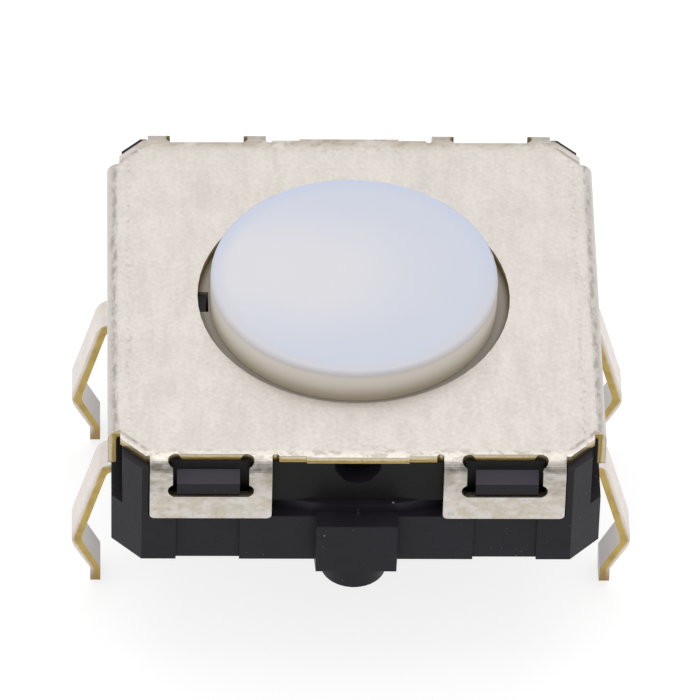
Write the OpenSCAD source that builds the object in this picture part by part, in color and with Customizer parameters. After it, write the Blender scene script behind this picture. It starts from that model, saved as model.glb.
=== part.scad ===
// Tactile push button switch, 12 mm square, for through-hole boards.
// Millimetres, +Z up. The origin is the centre of the footprint on the board's top surface.
// The front is -Y. The underside of the housing lies on the board at z = 0.

/* [Cover] */
// Width and depth over the side flanges and the snap frames
cover_w = 12; // [11.6:0.1:12.4]
// Height of the top face above the board
cover_top = 3.2; // [3:0.05:3.6]
// Thickness of the folded sheet
sheet_t = 0.2; // [0.15:0.01:0.25]
// Inside radius of the folds
fold_r = 0.1; // [0.05:0.01:0.15]
// Length cut off each corner, along the sides
cover_cut = 1.25; // [1.1:0.05:1.4]
// Distance that a side flange runs on past the start of its corner cut
flange_over = 0.03; // [0:0.01:0.15]
// Distance that the side flanges reach down from the top face
flange_drop = 1.12; // [0.6:0.02:1.2]
// Radius on the lower corners of the flanges and frames
sheet_corner_r = 0.12; // [0.05:0.01:0.2]
// Distance of the sheared edges between the frames from the frames' outer faces
edge_inset = 0.35; // [0.3:0.01:0.45]
// Width of the stub that held the cover on its carrier strip
stub_w = 2.46; // [1.5:0.02:2.8]
// Distance that the stub stands out from the sheared edge
stub_out = 0.05; // [0.02:0.01:0.1]
// Width of the relief slot beside each frame
relief_w = 0.17; // [0.1:0.01:0.25]
// Depth of the relief slot from the sheared edge
relief_depth = 0.07; // [0.04:0.01:0.16]

/* [Snap frames] */
// Width of one snap frame
frame_w = 2.93; // [2.6:0.01:3]
// Distance of a frame's outer edge from the side flange's outer face
frame_margin = 1.01; // [0.95:0.01:1.2]
// Gap between a frame's foot and the plinth
frame_gap = 0.03; // [0.02:0.01:0.1]
// Width of the window in a frame
window_w = 1.83; // [1.7:0.01:1.95]
// Height of the bar below the window
bar_h = 0.71; // [0.55:0.01:0.8]
// Distance of the window's upper cut from the frame's outer face
window_inset = 0.42; // [0.38:0.01:0.5]
// Diameter of the round ears in the window's corners
ear_d = 0.4; // [0.3:0.01:0.44]
// Distance that the ears reach past the window's sides
ear_out = 0.12; // [0.05:0.01:0.16]
// Lean of the upper ears out of the upright, where they run through the fold
ear_tilt = 17; // [12:1:25]

/* [Housing] */
// Distance of the plinth's sides behind the cover's outer faces
plinth_inset = 0.1; // [0.05:0.01:0.2]
// Height of the plinth
plinth_h = 1.43; // [1.3:0.01:1.5]
// Length cut off each plinth corner, along the sides
plinth_cut = 0.72; // [0.6:0.01:0.9]
// Distance of the round cup behind the plinth's sides
cup_inset = 0.05; // [0.02:0.01:0.15]
// Thickness of the cup's wall round the button's flange
cup_wall = 1.18; // [1:0.02:1.3]
// Height of the round cup wall that shows above the plinth
cup_band_h = 0.32; // [0.2:0.01:0.4]
// Gap between the front and rear walls and the frames
wall_gap_y = 0.15; // [0.1:0.01:0.2]
// Gap between the side walls and the side flanges
wall_gap_x = 0.16; // [0.1:0.01:0.2]
// Gap between a corner pillar and the frame beside it
pillar_gap = 0.03; // [0.02:0.01:0.1]
// Size of a corner pillar where it stands on the plinth
pillar_w = 1.3; // [1:0.05:1.5]
// Radius of the half-round notch in the middle of the front and rear walls
notch_r = 0.56; // [0.4:0.01:0.65]
// Height from the notch's centre up to the cover
notch_rise = 0.13; // [0.05:0.01:0.2]
// Depth of the notch
notch_depth = 0.5; // [0.2:0.01:0.6]
// Width of the centre block on the front and rear of the plinth
block_w = 1.95; // [1.6:0.01:2.2]
// Distance that the centre block stands up above the plinth
block_rise = 0.06; // [0.02:0.01:0.1]
// Distance that the centre block stands out from the plinth
block_out = 0.43; // [0.3:0.01:0.5]
// Distance that each side of the centre block draws in towards its face
block_draft = 0.03; // [0.01:0.01:0.06]

/* [Snap lugs] */
// Width of a snap lug
lug_w = 1.51; // [1.4:0.01:1.56]
// Distance that a lug sits outside its window's centre
lug_shift = 0.06; // [0:0.01:0.08]
// Height of a lug's upright face
lug_face_h = 0.34; // [0.25:0.01:0.38]
// Height of the ramp above a lug's face
lug_ramp_h = 0.21; // [0.15:0.01:0.25]
// Distance of a lug's face behind the frame's outer face
lug_inset = 0.05; // [0.02:0.01:0.08]
// Gap between a lug's underside and the bar below it
snap_gap = 0.04; // [0.02:0.01:0.06]
// Width of the shallow groove in the plinth below each lug
groove_w = 1.53; // [1.52:0.01:1.7]
// Depth of that groove
groove_depth = 0.09; // [0.05:0.01:0.12]

/* [Locating bosses] */
// Diameter of a boss
boss_d = 1.6; // [1.4:0.02:1.7]
// Length of a boss below the housing
boss_l = 1.7; // [1.2:0.05:1.8]
// Distance between the two bosses' centres
boss_pitch = 9; // [8.8:0.05:9.2]
// Size of the bevel on a boss's tip
boss_bevel = 0.15; // [0.1:0.01:0.3]

/* [Button] */
// Diameter of the button's cap
button_d = 7; // [6.6:0.05:7.2]
// Height that the button stands out of the cover
button_out = 0.71; // [0.6:0.01:0.9]
// Radius of the rounded rim of the cap
button_edge_r = 0.12; // [0.05:0.01:0.2]
// Gap between the cap and the hole in the cover, all round
hole_gap = 0.31; // [0.2:0.01:0.35]
// Thickness of the flange that the cover holds down
flange_t = 0.7; // [0.5:0.05:0.8]
// Gap between the flange and the cup's bore, all round
bore_gap = 0.12; // [0.08:0.01:0.2]
// Width of the key in the cup's bore that keeps the button from turning
key_w = 0.6; // [0.4:0.02:0.8]
// Gap between the key and the sides of its slot in the flange
key_gap = 0.06; // [0.03:0.01:0.1]
// Gap between the key's end and the cap, and between its top and the cover
key_end_gap = 0.1; // [0.05:0.01:0.15]
// Gap between the flange and the underside of the cover
rest_gap = 0.02; // [0.02:0.01:0.05]
// Distance that the button travels
travel = 0.3; // [0.2:0.01:0.35]
// Gap left under the flange when the button is down
floor_gap = 0.25; // [0.1:0.01:0.3]
// Diameter of the stem where it leaves the cap
stem_d = 2.8; // [2.4:0.05:3]
// Diameter of the stem's tip
stem_tip_d = 2; // [1.6:0.05:2.2]
// Thickness of the cap over the ring that is cored out of its underside
cap_t = 0.8; // [0.6:0.05:1]
// Thickness of the cap's side wall round that ring
cap_wall = 0.7; // [0.5:0.05:0.9]

/* [Snap dome] */
// Diameter of the dome
dome_d = 6; // [5.6:0.05:6.2]
// Thickness of the dome's sheet
dome_t = 0.08; // [0.06:0.01:0.1]
// Gap between the dome and its pocket, all round
pocket_gap = 0.15; // [0.1:0.01:0.2]
// Gap between the dome and the stem's tip
press_gap = 0.02; // [0.02:0.01:0.05]
// Gap left between the dome and the centre contact when the button is down
contact_gap = 0.02; // [0.02:0.01:0.05]

/* [Terminals] */
// Distance between the front legs and the rear legs
leg_pitch = 5; // [4.8:0.05:5.2]
// Width of a leg
leg_w = 0.9; // [0.8:0.02:1.1]
// Thickness of the terminal strips
strip_t = 0.25; // [0.2:0.01:0.28]
// Height of the strips' underside above the board
strip_z = 0.06; // [0.04:0.01:0.12]
// Distance of a leg's shoulder from the plinth
shoulder_out = 0.18; // [0.17:0.01:0.3]
// Distance of a leg's kink from the plinth
kink_out = 0.87; // [0.6:0.01:0.95]
// Depth of the kink below the board's top surface
kink_depth = 2.25; // [1.8:0.05:2.4]
// Distance of a leg's tip from the plinth
tip_out = 0.37; // [0.3:0.01:0.5]
// Depth at which the straight tip begins
tip_start = 3.2; // [3:0.05:3.3]
// Depth of the leg's end below the board's top surface
leg_depth = 3.8; // [3.45:0.05:3.9]
// Radius of the shoulder bend along the middle of the sheet
shoulder_r = 0.34; // [0.24:0.01:0.36]
// Radius of the kink along the middle of the sheet
kink_r = 0.6; // [0.2:0.01:0.7]
// Size of the bevel on the corners of a leg's end
tip_bevel = 0.18; // [0.05:0.01:0.25]
// Thickness of plastic over the strips in the cup's floor
skin_t = 0.21; // [0.12:0.01:0.24]
// Diameter of the centre contact
stud_d = 1.2; // [1:0.05:1.4]
// Height of the centre contact above the cup's floor
stud_h = 0.08; // [0.05:0.01:0.1]
// Width of the tongue that carries the centre contact
tongue_w = 1.4; // [1.4:0.05:1.6]
// Width of the two arms that carry the rim contacts
arm_w = 0.9; // [0.8:0.02:1]
// Distance of the arms' centres from the middle
arm_x = 2.75; // [2.65:0.01:2.8]
// Length of a rim contact
pad_l = 2.2; // [1.8:0.05:2.4]
// Gap round the contacts in the cup's floor
contact_window = 0.08; // [0.05:0.01:0.1]

/* [Hidden] */
$fn = 96;

sides = [-1, 1];
// Cutting bodies run past the faces that they open by this much
over = 0.1;
// Bent edges run into the plate by this much, so that the sheet is one piece
lap = 0.1;
// Number of steps in each drawn arc
arc_steps = 8;

cover_half = cover_w / 2;
cover_under = cover_top - sheet_t;
fold_out_r = fold_r + sheet_t;
edge_y = cover_half - edge_inset;
corner_line = cover_w - cover_cut;
flange_half_l = cover_half - cover_cut + flange_over;
frame_z = plinth_h + frame_gap;
window_z = frame_z + bar_h;
window_y = cover_half - window_inset;
ear_x = window_w / 2 + ear_out - ear_d / 2;
hole_d = button_d + 2 * hole_gap;
frame_x = cover_half - frame_margin - frame_w / 2;

plinth_half = cover_half - plinth_inset;
plinth_w = 2 * plinth_half;
wall_y = cover_half - sheet_t - wall_gap_y;
wall_x = cover_half - sheet_t - wall_gap_x;
pillar_x = frame_x + frame_w / 2 + pillar_gap;
shoulder_z = plinth_h + cup_band_h;
lug_z = window_z + snap_gap;
lug_y = cover_half - lug_inset;
lug_x = frame_x + lug_shift;
cup_r = plinth_half - cup_inset;

strip_top = strip_z + strip_t;
floor_z = strip_top + skin_t;
stud_top = floor_z + stud_h;
dome_top = stud_top + contact_gap + travel + dome_t;
dome_rise = dome_top - floor_z;
pocket_r = dome_d / 2 + pocket_gap;
bore_r = cup_r - cup_wall;
flange_r = bore_r - bore_gap;
flange_top = cover_under - rest_gap;
flange_z = flange_top - flange_t;
bore_z = flange_z - travel - floor_gap;
button_top = cover_top + button_out;
stem_z = dome_top + press_gap;

// Points along an arc about c, from angle a to angle b
function arc(c, r, a, b) = [
    for (k = [0 : arc_steps])
        let (t = a + (b - a) * k / arc_steps) c + r * [cos(t), sin(t)]
];

// List in reverse order
function reversed(list) = [for (k = [len(list) - 1 : -1 : 0]) list[k]];

// Heading of the line from p to q, in degrees
function heading(p, q) = atan2(q[1] - p[1], q[0] - p[0]);

// Points of a rounded right-hand bend at p of a path with middle radius r, shifted left by off
function bend(p, a, b, r, off) =
    let (
        back = r * tan((a - b) / 2),
        c = p - back * [cos(a), sin(a)] + r * [sin(a), -cos(a)]
    )
    arc(c, r + off, a + 90, b + 90);

// Square with its four corners cut at 45 degrees
module cut_square(w, cut) {
    h = w / 2;
    k = h - cut;
    polygon([[h, k], [k, h], [-k, h], [-h, k], [-h, -k], [-k, -h], [k, -h], [h, -k]]);
}

// Child copied to the front and the rear, turned half round
module front_and_rear() {
    for (turn = [0, 180])
        rotate([0, 0, turn])
            children();
}

// Section of one folded edge of the cover, from the plate out and down, in (out, up)
module folded_section(drop) {
    c = [cover_half - fold_out_r, cover_top - fold_out_r];
    start_x = c[0] - lap;
    polygon(concat(
        [[start_x, cover_top]],
        arc(c, fold_out_r, 90, 0),
        [[cover_half, cover_top - drop], [cover_half - sheet_t, cover_top - drop]],
        arc(c, fold_r, 0, 90),
        [[start_x, cover_under]]
    ));
}

// Folded edge of length l towards +X, centred on Y
module folded_edge(l, drop) {
    translate([0, l / 2, 0])
        rotate([90, 0, 0])
            linear_extrude(l)
                folded_section(drop);
}

// Waste that rounds the two lower corners of a folded edge of length l
module corner_waste(l, z) {
    for (side = sides)
        translate([cover_half - sheet_t - over, side * (l / 2 - sheet_corner_r), z + sheet_corner_r])
            rotate([90, 0, 90])
                linear_extrude(sheet_t + 2 * over)
                    difference() {
                        translate([side > 0 ? 0 : -sheet_corner_r - over, -sheet_corner_r - over])
                            square(sheet_corner_r + over);
                        circle(sheet_corner_r);
                    }
}

module side_flange() {
    difference() {
        folded_edge(2 * flange_half_l, flange_drop);
        corner_waste(2 * flange_half_l, cover_top - flange_drop);
    }
}

// One snap frame, in the place of a flange at +X, centred on Y
module snap_frame() {
    drop = cover_top - frame_z;
    difference() {
        folded_edge(frame_w, drop);
        corner_waste(frame_w, frame_z);
    }
}

// Waste of one window, in the same place
module window_waste() {
    translate([window_y, -window_w / 2, window_z])
        cube([window_inset + over, window_w, cover_top - window_z + over]);
    for (side = sides) {
        translate([cover_half - sheet_t - over, side * ear_x, window_z + ear_d / 2])
            rotate([0, 90, 0])
                cylinder(h = sheet_t + 2 * over, d = ear_d);
        translate([cover_half - fold_out_r, side * ear_x, cover_top - fold_out_r])
            rotate([0, ear_tilt, 0])
                cylinder(h = fold_out_r + ear_d, d = ear_d);
    }
}

// Relief slot beside a frame, cut into the sheared front edge
module relief_waste() {
    slot_y = edge_y - relief_depth + relief_w / 2;
    translate([0, -slot_y, cover_under - over]) {
        cylinder(h = sheet_t + 2 * over, d = relief_w);
        translate([-relief_w / 2, -relief_depth, 0])
            cube([relief_w, relief_depth, sheet_t + 2 * over]);
    }
}

module plate() {
    translate([0, 0, cover_under])
        linear_extrude(sheet_t)
            difference() {
                union() {
                    intersection() {
                        cut_square(cover_w, cover_cut);
                        square([2 * (cover_half - fold_out_r), 2 * edge_y], center = true);
                    }
                    square([stub_w, 2 * (edge_y + stub_out)], center = true);
                }
                circle(d = hole_d);
            }
}

module cover() {
    color("#cbc4bd")
        difference() {
            union() {
                plate();
                front_and_rear()
                    side_flange();
                front_and_rear()
                    for (side = sides)
                        translate([side * frame_x, 0, 0])
                            rotate([0, 0, -90])
                                snap_frame();
            }
            front_and_rear()
                for (side = sides) {
                    translate([side * frame_x, 0, 0])
                        rotate([0, 0, -90])
                            window_waste();
                    translate([side * (frame_x - frame_w / 2 - relief_w / 2), 0, 0])
                        relief_waste();
                }
        }
}

// Outline of the housing above the plinth: side walls set back, frames' recesses open
module upper_outline() {
    difference() {
        intersection() {
            cut_square(plinth_w, plinth_cut);
            square([2 * wall_x, plinth_w], center = true);
        }
        for (side = sides)
            translate([0, side * (wall_y + plinth_half)])
                square([2 * pillar_x, 2 * plinth_half], center = true);
    }
}

// Corner pillars where they stand on the plinth
module pillar_outline() {
    intersection() {
        upper_outline();
        for (x = sides, y = sides)
            translate([x * plinth_half, y * plinth_half])
                square(2 * pillar_w, center = true);
    }
}

// Snap lug on the front wall, seen from the side as (out, up)
module snap_lug() {
    root = wall_y - over;
    rotate([90, 0, -90])
        linear_extrude(lug_w, center = true)
            polygon([
                [root, lug_z],
                [lug_y, lug_z],
                [lug_y, lug_z + lug_face_h],
                [wall_y, lug_z + lug_face_h + lug_ramp_h],
                [root, lug_z + lug_face_h + lug_ramp_h]
            ]);
}

// Centre block on the front of the plinth
module centre_block() {
    w = block_w / 2;
    d = block_draft;
    linear_extrude(plinth_h + block_rise)
        polygon([
            [-w - d, -plinth_half + over],
            [-w - d, -plinth_half],
            [-w, -plinth_half - block_out],
            [w, -plinth_half - block_out],
            [w + d, -plinth_half],
            [w + d, -plinth_half + over]
        ]);
}

module locating_boss() {
    r = boss_d / 2;
    translate([0, -boss_pitch / 2, -boss_l]) {
        cylinder(h = boss_bevel, r1 = r - boss_bevel, r2 = r);
        translate([0, 0, boss_bevel])
            cylinder(h = boss_l - boss_bevel + over, r = r);
    }
}

// Half-round notch in the top of the front wall
module notch_waste() {
    notch_z = cover_under - notch_rise;
    translate([0, -wall_y + notch_depth, notch_z])
        rotate([90, 0, 0]) {
            cylinder(h = notch_depth + over, r = notch_r);
            translate([-notch_r, 0, 0])
                cube([2 * notch_r, notch_rise + over, notch_depth + over]);
        }
}

// Shallow groove in the plinth's front below one lug
module groove_waste() {
    translate([-groove_w / 2, -plinth_half - over, -over])
        cube([groove_w, groove_depth + over, plinth_h + 2 * over]);
}

// Key on the left of the cup's bore, in the slot of the button's flange
module bore_key() {
    end_r = button_d / 2 + key_end_gap;
    translate([-bore_r - over, -key_w / 2, bore_z - over])
        cube([bore_r + over - end_r, key_w, cover_under - key_end_gap - bore_z + over]);
}

// Room inside the cup: bore for the flange, pocket for the dome, windows over the contacts
module cup_room() {
    translate([0, 0, bore_z])
        cylinder(h = cover_top - bore_z, r = bore_r);
    translate([0, 0, floor_z])
        cylinder(h = cover_top - floor_z, r = pocket_r);
    translate([0, 0, strip_top])
        cylinder(h = cover_top - strip_top, d = stud_d + 2 * contact_window);
    for (side = sides)
        translate([side * arm_x, 0, strip_top + cover_top / 2])
            cube([arm_w, pad_l + 2 * contact_window, cover_top], center = true);
}

module housing() {
    color("#2d2b32")
        difference() {
            union() {
                linear_extrude(plinth_h)
                    cut_square(plinth_w, plinth_cut);
                translate([0, 0, plinth_h])
                    linear_extrude(cup_band_h)
                        union() {
                            circle(cup_r);
                            pillar_outline();
                        }
                translate([0, 0, shoulder_z])
                    linear_extrude(cover_under - shoulder_z)
                        upper_outline();
                front_and_rear() {
                    centre_block();
                    locating_boss();
                    for (side = sides)
                        translate([side * lug_x, 0, 0])
                            snap_lug();
                }
            }
            difference() {
                cup_room();
                bore_key();
            }
            front_and_rear() {
                notch_waste();
                for (side = sides)
                    translate([side * lug_x, 0, 0])
                        groove_waste();
            }
            flat_strip()
                front_strip_plan();
            flat_strip()
                rear_strip_plan();
        }
}

// Section of the button from its axis out: stem, cored cap and flange
module button_section() {
    r = button_d / 2;
    e = button_edge_r;
    core_in = stem_d / 2;
    core_out = r - cap_wall;
    polygon(concat(
        [
            [0, stem_z],
            [stem_tip_d / 2, stem_z],
            [core_in, flange_z],
            [core_in, button_top - cap_t],
            [core_out, button_top - cap_t],
            [core_out, flange_z],
            [flange_r, flange_z],
            [flange_r, flange_top],
            [r, flange_top]
        ],
        arc([r - e, button_top - e], e, 0, 90),
        [[0, button_top]]
    ));
}

module button() {
    slot_w = key_w + 2 * key_gap;
    slot_r = button_d / 2 + key_end_gap - key_gap;
    color("#e4e6ea")
        difference() {
            rotate_extrude()
                button_section();
            translate([-flange_r - over, -slot_w / 2, flange_z - over])
                cube([flange_r + over - slot_r, slot_w, flange_t + 2 * over]);
        }
}

// Spherical snap dome that stands on its rim
module contact_dome() {
    rim_r = dome_d / 2;
    ball_r = (rim_r * rim_r + dome_rise * dome_rise) / (2 * dome_rise);
    ball_z = dome_top - ball_r;
    rim_a = asin((floor_z - ball_z) / ball_r);
    inner_r = ball_r - dome_t;
    inner_a = asin((floor_z - ball_z) / inner_r);
    color("#b9bcc0")
        rotate_extrude()
            polygon(concat(
                arc([0, ball_z], ball_r, rim_a, 90),
                reversed(arc([0, ball_z], inner_r, inner_a, 90))
            ));
}

// Sheet of a terminal strip at its height, with its plan as the child
module flat_strip() {
    translate([0, 0, strip_z])
        linear_extrude(strip_t)
            children();
}

// Bar between two legs, up to the plinth's side walls
module bar_plan() {
    square([plinth_w, leg_w], center = true);
}

module front_strip_plan() {
    translate([0, -leg_pitch / 2])
        bar_plan();
    translate([-tongue_w / 2, -leg_pitch / 2])
        square([tongue_w, leg_pitch / 2]);
    circle(d = tongue_w);
}

module rear_strip_plan() {
    translate([0, leg_pitch / 2])
        bar_plan();
    for (side = sides)
        translate([side * arm_x - arm_w / 2, -pad_l / 2])
            square([arm_w, (leg_pitch + pad_l) / 2]);
}

// Side view of the right leg, outside the plinth, as (out, up)
module leg_section() {
    mid = strip_z + strip_t / 2;
    half = strip_t / 2;
    root = [plinth_half - lap, mid];
    shoulder = [plinth_half + shoulder_out, mid];
    kink = [plinth_half + kink_out, -kink_depth];
    tip = [plinth_half + tip_out, -tip_start];
    end = [tip[0], -leg_depth];
    a = heading(shoulder, kink);
    b = heading(kink, tip);
    c = heading(tip, end);
    outer = concat(
        [root + [0, half]],
        bend(shoulder, 0, a, shoulder_r, half),
        bend(kink, a, b, kink_r, half),
        [tip + [half, 0], end + [half, 0]]
    );
    inner = concat(
        [root - [0, half]],
        bend(shoulder, 0, a, shoulder_r, -half),
        bend(kink, a, b, kink_r, -half),
        [tip - [half, 0], end - [half, 0]]
    );
    polygon(concat(outer, reversed(inner)));
}

// One leg on the right, with the corners of its end bevelled
module leg() {
    w = leg_w / 2;
    b = tip_bevel;
    top = strip_top + over;
    intersection() {
        rotate([90, 0, 0])
            linear_extrude(leg_w, center = true)
                leg_section();
        translate([plinth_half - lap - over, 0, 0])
            rotate([90, 0, 90])
                linear_extrude(kink_out + lap + strip_t + 2 * over)
                    polygon([
                        [-w, top], [-w, b - leg_depth], [b - w, -leg_depth],
                        [w - b, -leg_depth], [w, b - leg_depth], [w, top]
                    ]);
    }
}

// Both legs of one strip
module leg_pair() {
    leg();
    mirror([1, 0, 0])
        leg();
}

module front_terminal_strip() {
    color("#c8c1a8")
        union() {
            flat_strip()
                front_strip_plan();
            translate([0, -leg_pitch / 2, 0])
                leg_pair();
            translate([0, 0, strip_top - strip_t / 2])
                cylinder(h = stud_top - strip_top + strip_t / 2, d = stud_d);
        }
}

module rear_terminal_strip() {
    pad_h = floor_z - strip_top + strip_t / 2;
    color("#c8c1a8")
        union() {
            flat_strip()
                rear_strip_plan();
            translate([0, leg_pitch / 2, 0])
                leg_pair();
            for (side = sides)
                translate([side * arm_x, 0, floor_z - pad_h / 2])
                    cube([arm_w - 2 * contact_window, pad_l, pad_h], center = true);
        }
}

housing();
cover();
button();
contact_dome();
front_terminal_strip();
rear_terminal_strip();
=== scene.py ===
import bpy
import math
from mathutils import Matrix, Vector


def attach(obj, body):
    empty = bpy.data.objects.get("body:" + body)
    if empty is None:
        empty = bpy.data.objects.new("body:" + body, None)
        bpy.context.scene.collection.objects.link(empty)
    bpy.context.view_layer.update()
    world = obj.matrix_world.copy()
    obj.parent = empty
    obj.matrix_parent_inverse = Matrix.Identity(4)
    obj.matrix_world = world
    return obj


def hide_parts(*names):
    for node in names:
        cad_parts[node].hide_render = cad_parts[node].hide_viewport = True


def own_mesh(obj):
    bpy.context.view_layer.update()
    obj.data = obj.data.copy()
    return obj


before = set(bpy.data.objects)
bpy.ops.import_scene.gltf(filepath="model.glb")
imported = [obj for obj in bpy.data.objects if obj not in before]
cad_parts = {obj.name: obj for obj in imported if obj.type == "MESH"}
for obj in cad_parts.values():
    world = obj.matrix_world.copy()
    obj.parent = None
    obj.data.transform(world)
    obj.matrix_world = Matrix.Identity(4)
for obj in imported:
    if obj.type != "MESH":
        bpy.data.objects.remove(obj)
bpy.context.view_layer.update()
bpy.ops.object.select_all(action="DESELECT")

mm = 0.001  # every length in the settings below is in millimetres


class Finish:
    # One material: a principled shader, and short calls for the nodes that feed it

    def __init__(self, name):
        self.material = bpy.data.materials.new(name)
        self.material.use_nodes = True
        self.tree = self.material.node_tree
        self.tree.nodes.clear()
        output = self.add("ShaderNodeOutputMaterial")
        self.skin = self.add("ShaderNodeBsdfPrincipled")
        self.tree.links.new(self.skin.outputs["BSDF"], output.inputs["Surface"])
        coords = self.add("ShaderNodeTexCoord")
        scaled = self.add("ShaderNodeVectorMath")
        scaled.operation = "SCALE"
        self.link(coords.outputs["Object"], scaled.inputs[0])
        scaled.inputs["Scale"].default_value = 1 / mm
        self.point = scaled.outputs[0]  # place on the object, in millimetres
        self.x, self.y, self.z = self.split(self.point)
        self.nx, self.ny, self.nz = self.split(coords.outputs["Normal"])

    def add(self, kind):
        return self.tree.nodes.new(kind)

    def link(self, value, socket):
        if isinstance(value, bpy.types.NodeSocket):
            self.tree.links.new(value, socket)
        elif isinstance(value, (tuple, list)) and socket.type == "RGBA":
            socket.default_value = (*value, 1)
        else:
            socket.default_value = value

    def split(self, vector):
        node = self.add("ShaderNodeSeparateXYZ")
        self.link(vector, node.inputs[0])
        return node.outputs[0], node.outputs[1], node.outputs[2]

    def math(self, operation, a, b=0.0):
        node = self.add("ShaderNodeMath")
        node.operation = operation
        self.link(a, node.inputs[0])
        self.link(b, node.inputs[1])
        return node.outputs[0]

    def size(self, a):
        return self.math("ABSOLUTE", a)

    def above(self, value, edge, soft=0.004):  # 0 below the edge, 1 above it
        node = self.add("ShaderNodeMapRange")
        node.interpolation_type = "SMOOTHSTEP"
        self.link(value, node.inputs["Value"])
        node.inputs["From Min"].default_value = edge - soft
        node.inputs["From Max"].default_value = edge + soft
        return node.outputs["Result"]

    def below(self, value, edge, soft=0.004):
        return self.math("SUBTRACT", 1.0, self.above(value, edge, soft))

    def between(self, value, low, high, soft=0.004):
        return self.allOf(self.above(value, low, soft), self.below(value, high, soft))

    def allOf(self, first, *others):
        for other in others:
            first = self.math("MULTIPLY", first, other)
        return first

    def anyOf(self, first, *others):
        for other in others:
            first = self.math("MAXIMUM", first, other)
        return first

    def noise(self, scale, detail=3.0, roughness=0.55, stretch=(1, 1, 1)):
        vector = self.point
        if stretch != (1, 1, 1):
            node = self.add("ShaderNodeMapping")
            self.link(vector, node.inputs["Vector"])
            node.inputs["Scale"].default_value = stretch
            vector = node.outputs[0]
        node = self.add("ShaderNodeTexNoise")
        self.link(vector, node.inputs["Vector"])
        node.inputs["Scale"].default_value = scale
        node.inputs["Detail"].default_value = detail
        node.inputs["Roughness"].default_value = roughness
        return node.outputs[0]

    def specks(self, scale, radius, soft):  # small round dots, a few of them in every cell
        node = self.add("ShaderNodeTexVoronoi")
        self.link(self.point, node.inputs["Vector"])
        node.inputs["Scale"].default_value = scale
        return self.below(node.outputs["Distance"], radius, soft)

    def blend(self, factor, a, b):
        node = self.add("ShaderNodeMix")
        node.data_type = "RGBA"
        self.link(factor, node.inputs["Factor"])
        self.link(a, node.inputs["A"])
        self.link(b, node.inputs["B"])
        return next(out for out in node.outputs if out.type == "RGBA")

    def level(self, value, low, high):  # 0 to 1 turned into low to high
        return self.math("ADD", self.math("MULTIPLY", value, high - low), low)

    def bump(self, height):  # height in millimetres
        node = self.add("ShaderNodeBump")
        node.inputs["Strength"].default_value = 1
        node.inputs["Distance"].default_value = mm
        self.link(height, node.inputs["Height"])
        self.link(node.outputs[0], self.skin.inputs["Normal"])

    def set(self, **values):
        for name, value in values.items():
            self.link(value, self.skin.inputs[name.replace("_", " ")])


# Cover: satin plated sheet, with bare brass where it was cut

cover = {
    "half": 6.0, "top": 3.2, "bendStart": 5.7, "edgeY": 5.65, "frameSide": 2.05, "cornerLine": 10.75,
    "lowEdge": 2.85, "plateFoot": 2.95, "plateFace": 3.1, "besideFoot": 2.25, "windowFoot": 2.45,
    "rollDepth": 0.045, "rollLine": 0.035, "shearDepth": 0.1, "tornDepth": (0.115, 0.155), "darkDepth": 0.19,
    "bandWidth": 0.22, "bandOver": 0.16, "cornerBand": 0.09, "cornerSlope": 0.12,
    "innerScuff": (5.42, 5.54), "outerScuff": (5.78, 5.88), "edgeScuff": (5.2, 5.42), "edgeScuffEnd": 2.2,
    "smudgeFrom": 5.35, "grimeLine": (0.13, 0.2), "grimeEnds": (5.75, 5.4),
    "plated": (0.625, 0.59, 0.555), "platedDark": (0.535, 0.495, 0.455),
    "frameTint": (0.52, 0.47, 0.385), "rolled": (0.60, 0.565, 0.505), "smudge": (0.40, 0.34, 0.27),
    "brass": (0.48, 0.36, 0.145), "brassDark": (0.17, 0.12, 0.035), "brassPale": (0.62, 0.52, 0.33),
    "rubbedAndShade": (0.34, 0.31, 0.265), "foldShade": (0.15, 0.14, 0.12), "grimeAndShade": (0.10, 0.085, 0.06),
}


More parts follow.
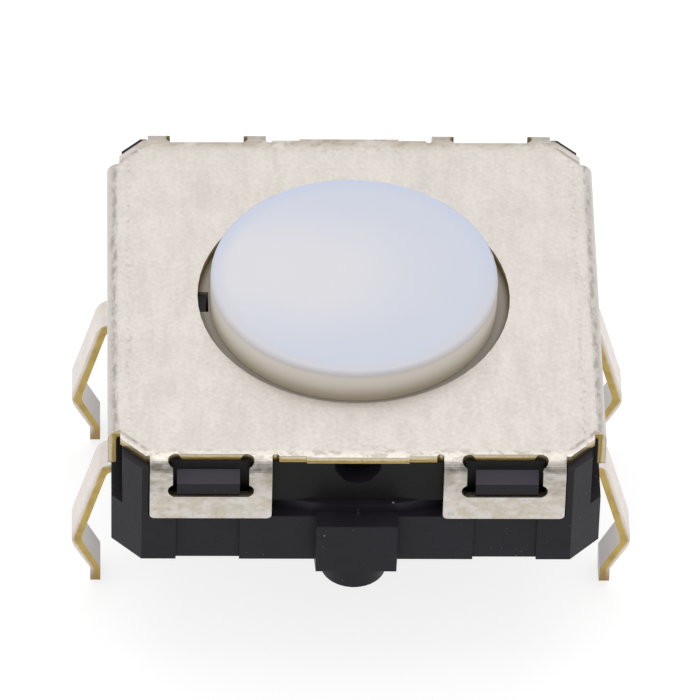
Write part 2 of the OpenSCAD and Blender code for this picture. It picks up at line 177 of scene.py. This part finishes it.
def coverFinish(cfg):
    f = Finish("satin_plated_sheet")
    outX, outY = f.size(f.x), f.size(f.y)
    facingX, facingY, facingZ = f.size(f.nx), f.size(f.ny), f.size(f.nz)
    inFlange = f.above(outX, cfg["bendStart"] - 0.01)
    inFrame = f.allOf(f.above(outY, cfg["edgeY"] + 0.01), f.above(outX, cfg["frameSide"]))
    inPlate = f.math("SUBTRACT", 1.0, f.anyOf(inFlange, inFrame))
    lowEdge = f.allOf(f.below(f.z, cfg["lowEdge"]), f.above(facingZ, 0.5, 0.05))
    cutPlate = f.allOf(inPlate, f.below(facingZ, 0.35, 0.05), f.above(f.z, cfg["plateFoot"]))
    cutFlange = f.allOf(inFlange, f.anyOf(f.above(facingY, 0.35, 0.1), lowEdge))
    cutFrame = f.allOf(inFrame, f.anyOf(f.above(facingX, 0.35, 0.1), lowEdge))
    cut = f.anyOf(cutPlate, cutFlange, cutFrame)

    # The punch rolls the outer skin over each cut, so the first of its thickness stays plated
    depthPlate = f.math("SUBTRACT", cfg["top"], f.z)
    depthSide = f.math("SUBTRACT", cfg["half"], f.math("MAXIMUM", outX, outY))
    depth = f.math("MINIMUM", depthPlate, depthSide)
    roll = f.below(f.math("ADD", depth, f.level(f.noise(6), -0.015, 0.015)), cfg["rollDepth"], 0.02)

    # Plated skin with a fine mottle, darker in cloudy patches
    fine = f.noise(9, 4, 0.62)
    cloud = f.noise(1.1, 4, 0.6)
    streak = f.noise(3, 4, 0.65, (1, 0.22, 1))
    broad = f.math("ADD", f.level(cloud, 0.0, 0.22), f.level(streak, 0.0, 0.34))
    mottle = f.above(f.math("ADD", f.level(fine, 0.0, 0.44), broad), 0.5, 0.15)
    skin = f.blend(mottle, cfg["platedDark"], cfg["plated"])
    onTop = f.allOf(f.above(f.nz, 0.6, 0.1), f.above(f.z, cfg["plateFace"], 0.02))
    frontFace = f.allOf(inFrame, f.above(facingY, 0.8, 0.1))
    patch = f.above(f.noise(2.4, 3, 0.6, (1, 1, 1.6)), 0.5, 0.14)
    tint = f.blend(patch, cfg["frameTint"], cfg["plated"])
    skin = f.blend(f.allOf(frontFace, 0.85), skin, tint)
    # painted shade: the frame fronts darker in patches beside the windows, from partway up
    beside = f.allOf(frontFace, f.above(f.z, cfg["besideFoot"], 0.2), f.level(patch, 0.75, 0.3))
    skin = f.blend(beside, skin, cfg["rubbedAndShade"])

    # Bright rolled band along the sheared edges and a thin one along the corner cuts
    bandEdge = cfg["edgeY"] - cfg["bandWidth"]
    bandLine = f.math("ADD", outY, f.level(f.noise(2.5, 4), -0.09, 0.09))
    bandPatch = f.level(f.above(f.noise(3.8, 4, 0.7), 0.49, 0.1), 0.15, 1.0)
    band = f.allOf(onTop, f.between(bandLine, bandEdge, cfg["edgeY"] + cfg["bandOver"], 0.06), bandPatch)
    corner = f.math("MULTIPLY", f.math("SUBTRACT", cfg["cornerLine"], f.math("ADD", outX, outY)), 0.7071)
    cornerBand = f.allOf(onTop, f.below(corner, cfg["cornerBand"], 0.05), f.level(mottle, 0.4, 0.8))
    skin = f.blend(f.anyOf(band, cornerBand), skin, cfg["rolled"])
    onEdge = f.allOf(onTop, f.above(outY, bandEdge, 0.08))
    rubbedAndShade = f.allOf(onEdge, f.above(f.noise(3.1, 5, 0.7, (0.7, 1, 1)), 0.535, 0.05), 0.65)
    skin = f.blend(rubbedAndShade, skin, cfg["rubbedAndShade"])

    # The bend over each snap frame gets a painted dark reflection, broken into patches
    foldTurn = f.math("ADD", f.nz, f.level(f.noise(3, 3), -0.3, 0.3))
    fold = f.allOf(
        inFrame, f.between(foldTurn, 0.22, 0.85, 0.22),
        f.above(f.nz, 0.02, 0.02), f.below(facingX, 0.3, 0.1))
    foldPatch = f.level(f.above(f.noise(4.5, 4), 0.5, 0.2), 0.5, 1.0)
    skin = f.blend(f.allOf(fold, foldPatch), skin, cfg["foldShade"])

    # Speckled scuffs along the side bends, and grime behind the corner cuts
    frontSpots = f.allOf(frontFace, f.above(f.noise(6, 5, 0.7), 0.58, 0.05))
    lineX = f.math("ADD", outX, f.level(f.noise(1.7, 4, 0.6), -0.1, 0.1))
    innerDots = f.above(f.noise(10, 5, 0.7, (1, 0.7, 1)), 0.56, 0.05)
    outerDots = f.above(f.noise(7, 5, 0.7, (1, 0.4, 1)), 0.5, 0.07)
    innerLine = f.allOf(f.between(lineX, *cfg["innerScuff"], 0.08), innerDots, 0.6)
    outerLine = f.allOf(f.between(lineX, *cfg["outerScuff"], 0.07), outerDots)
    sideLine = f.allOf(f.anyOf(innerLine, outerLine), f.above(f.nz, 0.1, 0.1))
    backSmudge = f.allOf(onTop, f.above(f.y, cfg["smudgeFrom"], 0.2), f.above(f.noise(1.4, 4), 0.45, 0.12))
    skin = f.blend(f.allOf(backSmudge, 0.5), skin, cfg["smudge"])
    grimeX, grimeY = cfg["grimeEnds"]
    cornerGrime = f.allOf(
        onTop, f.between(corner, *cfg["grimeLine"], 0.05), f.above(f.noise(5, 4, 0.65), 0.44, 0.1),
        f.below(outY, grimeY, 0.08), f.below(outX, grimeX, 0.05))
    edgeScuff = f.allOf(
        onTop, f.between(outY, *cfg["edgeScuff"], 0.06), f.below(outX, cfg["edgeScuffEnd"], 0.6),
        f.above(f.noise(4, 5, 0.7), 0.58, 0.04))
    dirt = f.anyOf(
        f.allOf(sideLine, 0.45), f.allOf(cornerGrime, 0.6),
        f.allOf(edgeScuff, 0.2), f.allOf(frontSpots, 0.2))
    skin = f.blend(dirt, skin, cfg["grimeAndShade"])

    # Cut edges: a pale sheared part, then brass with a torn line in it, darker towards the inner skin
    waver = f.math("ADD", depth, f.level(f.noise(3.5), -0.03, 0.03))
    grain = f.noise(14, 3, 0.6, (1, 1, 0.35))
    metal = f.blend(f.above(waver, cfg["shearDepth"], 0.03), cfg["brassPale"], cfg["brass"])
    torn = f.allOf(f.between(waver, *cfg["tornDepth"], 0.015), f.above(f.noise(2.2), 0.4, 0.08))
    streaks = f.allOf(f.above(grain, 0.62, 0.08), 0.4)
    torn = f.anyOf(f.allOf(torn, 0.6), streaks, f.above(waver, cfg["darkDepth"], 0.07))
    metal = f.blend(torn, metal, cfg["brassDark"])
    # painted shade: the upward cut faces low in each window, under the cover plate, darkened
    windowFloor = f.allOf(inFrame, f.above(f.nz, 0.2, 0.1), f.below(f.z, cfg["windowFoot"], 0.05))
    metal = f.blend(f.allOf(windowFloor, 0.7), metal, cfg["grimeAndShade"])
    # painted shade: a thin darker line along the top of each cut, where the rolled edge turns down
    skin = f.blend(f.allOf(cut, f.below(depth, cfg["rollLine"], 0.015), 0.6), skin, cfg["rubbedAndShade"])
    bare = f.allOf(cut, f.math("SUBTRACT", 1.0, f.allOf(roll, 0.85)))
    colour = f.blend(bare, skin, metal)
    rough = f.math("ADD", f.level(mottle, 0.46, 0.36), f.allOf(bare, 0.05))
    f.set(Base_Color=colour, Metallic=1.0, Roughness=rough)

    # The plate dips towards its sheared edges and corner cuts
    pastBand = f.math("MAXIMUM", f.math("SUBTRACT", outY, bandEdge), 0.0)
    pastCorner = f.math("MAXIMUM", f.math("SUBTRACT", cfg["cornerSlope"], corner), 0.0)
    rollSlope = f.math("POWER", pastBand, 2.0)
    cornerSlope = f.math("POWER", pastCorner, 2.0)
    rolled = f.allOf(onTop, f.math("ADD", f.allOf(rollSlope, -0.3), f.allOf(cornerSlope, -0.6)))
    f.bump(f.math("ADD", rolled, f.math("ADD", f.level(fine, 0.0, 0.004), f.level(cloud, 0.0, 0.008))))
    return f.material


# Housing: fine matt black moulding with dust on it, a painted highlight on the lug ramps and painted shade
# on the walls behind the frames

housing = {
    "black": (0.0120, 0.0107, 0.0155), "worn": (0.0185, 0.0165, 0.0228), "dust": (0.42, 0.42, 0.44),
    "paintedRampSheen": (0.060, 0.051, 0.068), "lugFoot": 2.45, "lugTop": 2.8, "lugY": 5.6,
    "paintedRecessShade": (0.0025, 0.0021, 0.0019), "wallY": 5.66, "wallFoot": 1.8,
}


def housingFinish(cfg):
    f = Finish("matt_black_moulding")
    cloud = f.noise(0.9, 4, 0.6)
    grain = f.noise(16, 3, 0.6)
    base = f.blend(f.above(cloud, 0.5, 0.2), cfg["black"], cfg["worn"])
    few = f.above(f.noise(1.3, 2), 0.58, 0.03)
    dots = f.allOf(f.specks(2.4, 0.07, 0.03), few, 0.8)
    lint = f.allOf(f.specks(6.5, 0.10, 0.05), f.above(f.noise(2.1, 2), 0.63, 0.03), 0.35)
    base = f.blend(f.anyOf(dots, lint), base, cfg["dust"])
    # painted highlight: the sloped lug ramps lighter, where they face the light
    ramp = f.allOf(f.between(f.z, cfg["lugFoot"], cfg["lugTop"], 0.02), f.above(f.size(f.y), cfg["lugY"]),
                   f.between(f.nz, 0.25, 0.9, 0.1))
    base = f.blend(ramp, base, cfg["paintedRampSheen"])
    wall = f.allOf(
        f.below(f.size(f.y), cfg["wallY"]), f.above(f.z, cfg["wallFoot"], 0.3), f.above(f.size(f.ny), 0.8))
    base = f.blend(wall, base, cfg["paintedRecessShade"])  # painted shade: the walls behind the frames, under the cover, darkened to near black, with no dust or wear
    f.set(Base_Color=base, Roughness=f.level(f.math("ADD", cloud, f.level(grain, -0.2, 0.2)), 0.38, 0.56))
    f.set(Specular_IOR_Level=0.2)
    f.bump(f.math("ADD", f.level(grain, 0.0, 0.006), f.level(cloud, 0.0, 0.02)))
    return f.material


# Button: opal bluish-white plastic, greyer down the side with painted shade and a painted brass reflection,
# and painted shade on the hidden flange

button = {
    "top": 3.91, "whiteCentre": (-1.9, 0.1), "whiteStretch": (0.75, 1.3), "whiteReach": 2.3,
    "middle": (0.765, 0.757, 0.795), "rim": (0.655, 0.69, 0.79),
    "fringeStart": 3.3, "fringeFront": (0.665, 0.645, 0.675), "fringeBack": (0.56, 0.625, 0.80),
    "sideStart": 0.14, "lowStart": 0.62,
    "side": (0.90, 0.85, 0.78), "low": (0.73, 0.66, 0.52),
    "radius": 3.5, "flangeDown": 0.92, "flange": (0.37, 0.335, 0.30), "flangeEdge": (0.15, 0.115, 0.06),
}


def buttonFinish(cfg):
    f = Finish("opal_plastic")
    soft = f.noise(0.35, 2, 0.5)
    dx = f.math("SUBTRACT", f.x, cfg["whiteCentre"][0])
    dy = f.math("SUBTRACT", f.y, cfg["whiteCentre"][1])
    stretchX, stretchY = cfg["whiteStretch"]
    away = f.math("SQRT", f.math("ADD", f.math("POWER", f.allOf(dx, stretchX), 2.0),
                                 f.math("POWER", f.allOf(dy, stretchY), 2.0)))
    toRim = f.above(f.math("ADD", away, f.level(soft, -0.7, 0.7)), cfg["whiteReach"], 1.7)
    crown = f.blend(toRim, cfg["middle"], cfg["rim"])
    reach = f.math("SQRT", f.math("ADD", f.math("POWER", f.x, 2.0), f.math("POWER", f.y, 2.0)))
    fringe = f.blend(f.above(f.y, 0.0, 1.6), cfg["fringeFront"], cfg["fringeBack"])
    crown = f.blend(f.above(reach, cfg["fringeStart"], 0.35), crown, fringe)
    down = f.math("SUBTRACT", cfg["top"], f.z)
    wall = f.blend(f.above(down, cfg["sideStart"], 0.13), crown, cfg["side"])
    # painted shade and a painted brass reflection: the lower side browner towards the hole
    wall = f.blend(f.above(down, cfg["lowStart"], 0.3), wall, cfg["low"])
    # painted shade: the white flange greyed under the cover, darkest at its rim
    ring = f.blend(f.above(f.math("ADD", reach, f.level(soft, -0.06, 0.06)), cfg["radius"] + 0.2, 0.1),
                   cfg["flange"], cfg["flangeEdge"])
    wall = f.blend(f.above(down, cfg["flangeDown"], 0.005), wall, ring)
    mark = f.allOf(f.above(f.noise(2.2, 5, 0.7), 0.66, 0.03), 0.06)
    colour = f.blend(mark, wall, cfg["low"])
    f.set(Base_Color=colour, Roughness=f.level(f.noise(3, 4, 0.6), 0.34, 0.46))
    f.set(Subsurface_Weight=0.35, Subsurface_Scale=0.5 * mm, Subsurface_Radius=(1.0, 0.95, 0.9))
    f.set(Specular_IOR_Level=0.45)
    f.bump(f.level(f.noise(1.2, 3), 0.0, 0.006))
    return f.material


# Terminal strips: plated faces, bare brass along the cut sides, tarnished tips

strip = {
    "shoulder": (6.08, 0.185), "kink": (6.77, -2.25), "tip": (6.27, -3.2),
    "halfSheet": 0.125, "rollDepth": 0.075, "dullFrom": -2.6, "tarnishFrom": -3.3,
    "plated": (0.76, 0.70, 0.665), "platedDark": (0.67, 0.61, 0.565),
    "brass": (0.485, 0.36, 0.118), "brassDark": (0.37, 0.26, 0.08), "tarnish": (0.28, 0.18, 0.085),
    "inside": (0.40, 0.38, 0.375),
}


def stripFinish(cfg):
    f = Finish("plated_strip")
    outX = f.size(f.x)
    half = cfg["halfSheet"]

    def past(start, end):  # distance outside the outer face of the sheet that runs from start to end
        run = Vector(end) - Vector(start)
        across = Vector((-run.y, run.x)).normalized()
        alongX = f.math("MULTIPLY", f.math("SUBTRACT", outX, start[0]), across.x)
        alongZ = f.math("MULTIPLY", f.math("SUBTRACT", f.z, start[1]), across.y)
        return f.math("SUBTRACT", f.math("ADD", alongX, alongZ), half)

    flatTop = f.math("SUBTRACT", f.z, cfg["shoulder"][1] + half)
    upper = past(cfg["shoulder"], cfg["kink"])
    lower = past(cfg["kink"], cfg["tip"])
    upright = f.math("SUBTRACT", outX, cfg["tip"][0] + half)
    outside = f.anyOf(flatTop, upper, f.math("MINIMUM", lower, upright))
    wander = f.level(f.noise(4), -0.02, 0.02)
    roll = f.above(f.math("ADD", outside, wander), -cfg["rollDepth"], 0.045)

    cut = f.above(f.size(f.ny), 0.55, 0.1)
    cloud = f.noise(1.6, 4, 0.6)
    fine = f.noise(10, 3, 0.6)
    skin = f.blend(f.above(f.math("ADD", f.level(cloud, 0, 0.6), f.level(fine, 0, 0.4)), 0.5, 0.16),
                   cfg["platedDark"], cfg["plated"])
    inward = f.math("MULTIPLY", f.math("SIGN", f.x), f.nx)  # painted reflection of the dark housing: the inner faces darker towards the tips
    shade = f.allOf(f.below(inward, -0.25, 0.2), f.level(f.below(f.z, cfg["dullFrom"], 0.6), 0.45, 0.95))
    skin = f.blend(shade, skin, cfg["inside"])
    metal = f.blend(f.above(f.noise(2.6, 4, 0.6), 0.46, 0.2), cfg["brassDark"], cfg["brass"])
    bare = f.allOf(cut, f.math("SUBTRACT", 1.0, f.allOf(roll, 0.9)))
    colour = f.blend(bare, skin, metal)
    uneven = f.math("ADD", f.z, f.level(cloud, -0.3, 0.3))
    tip = f.allOf(f.below(uneven, cfg["tarnishFrom"], 0.4), f.anyOf(cut, f.above(f.size(f.nz), 0.6, 0.1)))
    colour = f.blend(f.allOf(tip, 0.85), colour, cfg["tarnish"])
    f.set(Base_Color=colour, Metallic=1.0, Roughness=f.level(cloud, 0.32, 0.5))
    f.bump(f.math("ADD", f.level(fine, 0.0, 0.003), f.level(cloud, 0.0, 0.01)))
    return f.material


# Snap dome: bright spring steel, drawn in rings

dome = {
    "rimRadius": 3.0, "rise": 0.48, "sheet": 0.08, "floorZ": 0.52,
    "segments": 96, "rings": 240, "dimple": 0.02, "dimpleReach": 0.7, "pressed": 0.375, "wornReach": 1.05,
    "bright": (0.62, 0.62, 0.61), "dull": (0.45, 0.45, 0.44), "worn": (0.28, 0.27, 0.25),
}


def domeFinish(cfg):
    f = Finish("spring_steel")
    radius = f.math("SQRT", f.math("ADD", f.math("POWER", f.x, 2.0), f.math("POWER", f.y, 2.0)))
    rings = f.add("ShaderNodeTexNoise")
    rings.noise_dimensions = "1D"
    f.link(radius, rings.inputs["W"])
    rings.inputs["Scale"].default_value = 14
    ring = rings.outputs[0]
    colour = f.blend(f.above(ring, 0.5, 0.2), cfg["dull"], cfg["bright"])
    pressed = f.allOf(f.below(radius, cfg["wornReach"], 0.2), f.above(f.noise(5, 4), 0.45, 0.1))
    colour = f.blend(f.allOf(pressed, 0.5), colour, cfg["worn"])
    f.set(Base_Color=colour, Metallic=1.0, Roughness=f.level(ring, 0.22, 0.36))
    f.bump(f.level(ring, 0.0, 0.002))
    return f.material


def makeDome(cfg, material):
    # A thin cap cut from a ball, given its sheet thickness, cut flat where it stands, closed along its rim
    rim, rise = cfg["rimRadius"], cfg["rise"]
    ball = (rim * rim + rise * rise) / (2 * rise)
    middle = cfg["floorZ"] + rise - ball
    bpy.ops.object.select_all(action="DESELECT")
    bpy.ops.mesh.primitive_uv_sphere_add(
        segments=cfg["segments"], ring_count=cfg["rings"], radius=ball * mm, location=(0, 0, middle * mm))
    piece = bpy.context.object
    piece.name = "snap_dome"
    bpy.ops.object.transform_apply(location=True, rotation=True, scale=True)
    cutDome(cfg["floorZ"] - 2 * cfg["sheet"])
    wall = piece.modifiers.new("sheet", "SOLIDIFY")
    wall.thickness = cfg["sheet"] * mm
    wall.offset = -1
    wall.use_even_offset = True
    bpy.ops.object.modifier_apply(modifier=wall.name)
    cutDome(cfg["floorZ"])
    bpy.ops.object.mode_set(mode="EDIT")
    bpy.ops.mesh.select_mode(type="EDGE")
    bpy.ops.mesh.select_all(action="DESELECT")
    bpy.ops.mesh.select_non_manifold()
    bpy.ops.mesh.bridge_edge_loops()
    bpy.ops.mesh.select_all(action="SELECT")
    bpy.ops.mesh.normals_make_consistent(inside=False)
    bpy.ops.mesh.select_mode(type="VERT")
    bpy.ops.mesh.select_all(action="DESELECT")
    bpy.ops.object.mode_set(mode="OBJECT")
    for vertex in piece.data.vertices:  # the crown, pressed in a little under the stem
        vertex.select = vertex.co.xy.length < 0.1 * mm
    bpy.ops.object.mode_set(mode="EDIT")
    bpy.ops.transform.translate(
        value=(0, 0, -cfg["dimple"] * mm), use_proportional_edit=True,
        proportional_size=cfg["dimpleReach"] * mm)
    bpy.ops.object.mode_set(mode="OBJECT")
    bpy.ops.object.shade_smooth_by_angle(angle=math.radians(30))
    piece.data.materials.append(material)
    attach(piece, "body")
    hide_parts("contact_dome")
    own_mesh(piece)
    piece.select_set(False)
    print("snap_dome made")


def cutDome(height):  # clears the active piece below a height
    bpy.ops.object.mode_set(mode="EDIT")
    bpy.ops.mesh.select_all(action="SELECT")
    bpy.ops.mesh.bisect(
        plane_co=(0, 0, height * mm), plane_no=(0, 0, 1), clear_inner=True, threshold=1e-4 * mm)
    bpy.ops.object.mode_set(mode="OBJECT")


def dress(nodeName, material):
    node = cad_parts[nodeName]
    for slot in node.material_slots:
        slot.material = material
    if not node.material_slots:
        node.data.materials.append(material)
    print(nodeName + " finished")


dress("cover", coverFinish(cover))
dress("housing", housingFinish(housing))
dress("button", buttonFinish(button))
makeDome(dome, domeFinish(dome))
stripMaterial = stripFinish(strip)
for stripName in ("front_terminal_strip", "rear_terminal_strip"):
    dress(stripName, stripMaterial)


# Studio: pale floor just under the legs, soft lamps and a white surround

studio = {
    "floorZ": -3.81, "floorSize": 3000, "floorColour": (0.34, 0.34, 0.34), "floorGlow": 0.78,
    "skyDiffuse": 0.62,
    "lamps": [  # name, place, width, watts
        ("top_box", (0, 90, 380), 400, 0.5),
        ("left_box", (-330, -120, 220), 220, 0.15),
        ("right_box", (330, -160, 240), 220, 0.11),
    ],
}


def seenDirectly(tree):  # 1 for camera rays, and for what metal and plastic mirror
    path = tree.nodes.new("ShaderNodeLightPath")
    total = path.outputs["Is Camera Ray"]
    for name in ("Is Glossy Ray", "Is Transmission Ray"):
        node = tree.nodes.new("ShaderNodeMath")
        node.operation = "MAXIMUM"
        tree.links.new(total, node.inputs[0])
        tree.links.new(path.outputs[name], node.inputs[1])
        total = node.outputs[0]
    return total


def makeFloor(cfg):
    bpy.ops.mesh.primitive_plane_add(size=cfg["floorSize"] * mm, location=(0, 0, cfg["floorZ"] * mm))
    floor = bpy.context.object
    floor.name = "studio_floor"
    bpy.ops.object.transform_apply(location=True, rotation=True, scale=True)
    material = bpy.data.materials.new("pale_floor")
    material.use_nodes = True
    tree = material.node_tree
    skin = tree.nodes["Principled BSDF"]
    underneath = tree.nodes.new("ShaderNodeNewGeometry")  # seen from below, the floor is clear
    clear = tree.nodes.new("ShaderNodeBsdfTransparent")
    either = tree.nodes.new("ShaderNodeMixShader")
    tree.links.new(underneath.outputs["Backfacing"], either.inputs[0])
    tree.links.new(skin.outputs[0], either.inputs[1])
    tree.links.new(clear.outputs[0], either.inputs[2])
    tree.links.new(either.outputs[0], tree.nodes["Material Output"].inputs["Surface"])
    skin.inputs["Base Color"].default_value = (*cfg["floorColour"], 1)
    skin.inputs["Roughness"].default_value = 0.9
    skin.inputs["Specular IOR Level"].default_value = 0.1
    skin.inputs["Emission Color"].default_value = (1, 1, 1, 1)
    glow = tree.nodes.new("ShaderNodeMath")
    glow.operation = "MULTIPLY"
    tree.links.new(seenDirectly(tree), glow.inputs[0])
    glow.inputs[1].default_value = cfg["floorGlow"]
    tree.links.new(glow.outputs[0], skin.inputs["Emission Strength"])
    material.cycles.emission_sampling = "NONE"  # the glow is only seen, it lights nothing
    floor.data.materials.append(material)


def makeWorld(cfg):
    world = bpy.data.worlds.new("white_surround")
    bpy.context.scene.world = world
    world.use_nodes = True
    world.cycles.sampling_method = "NONE"
    tree = world.node_tree
    tree.nodes.clear()
    output = tree.nodes.new("ShaderNodeOutputWorld")
    mix = tree.nodes.new("ShaderNodeMixShader")
    lit = tree.nodes.new("ShaderNodeBackground")
    lit.inputs["Strength"].default_value = cfg["skyDiffuse"]
    lit.inputs["Color"].default_value = (1, 1, 1, 1)
    seen = tree.nodes.new("ShaderNodeBackground")
    seen.inputs["Strength"].default_value = 1
    seen.inputs["Color"].default_value = (1, 1, 1, 1)
    tree.links.new(seenDirectly(tree), mix.inputs[0])
    tree.links.new(lit.outputs[0], mix.inputs[1])
    tree.links.new(seen.outputs[0], mix.inputs[2])
    tree.links.new(mix.outputs[0], output.inputs["Surface"])


def makeLamps(cfg):
    for name, place, width, watts in cfg["lamps"]:
        spot = Vector(place) * mm
        aim = (-spot).to_track_quat("-Z", "Y").to_euler()
        bpy.ops.object.light_add(type="AREA", location=spot, rotation=aim)
        lamp = bpy.context.object
        lamp.name = name
        lamp.data.shape = "SQUARE"
        lamp.data.size = width * mm
        lamp.data.energy = watts


# Camera: fitted to the photograph, with the 12 mm cover as its scale

lens = {
    "focal": 499.38, "sensor": 36.0, "yaw": -0.0409, "pitch": 0.7533, "roll": 0.0307,
    "target": (-0.0489, 0.0, 1.3855), "distance": 237.9473,
}


def makeCamera(cfg):
    yaw, pitch, roll = cfg["yaw"], cfg["pitch"], cfg["roll"]
    right = Vector((math.cos(yaw), math.sin(yaw), 0))
    level = Vector((-math.sin(yaw), math.cos(yaw), 0))
    ahead = level * math.cos(pitch) - Vector((0, 0, 1)) * math.sin(pitch)
    up = right.cross(ahead)
    side = right * math.cos(roll) + up * math.sin(roll)
    head = up * math.cos(roll) - right * math.sin(roll)
    turn = Matrix((side, head, -ahead)).transposed()
    place = (Vector(cfg["target"]) - ahead * cfg["distance"]) * mm
    bpy.ops.object.camera_add(location=place, rotation=turn.to_euler())
    camera = bpy.context.object
    camera.name = "photo_camera"
    camera.data.lens = cfg["focal"]
    camera.data.sensor_width = cfg["sensor"]
    camera.data.clip_start = 1 * mm
    camera.data.clip_end = 10000 * mm
    bpy.context.scene.camera = camera


makeFloor(studio)
makeWorld(studio)
makeLamps(studio)
print("studio set up")
makeCamera(lens)
bpy.context.scene.view_settings.view_transform = "Standard"
print("camera placed")
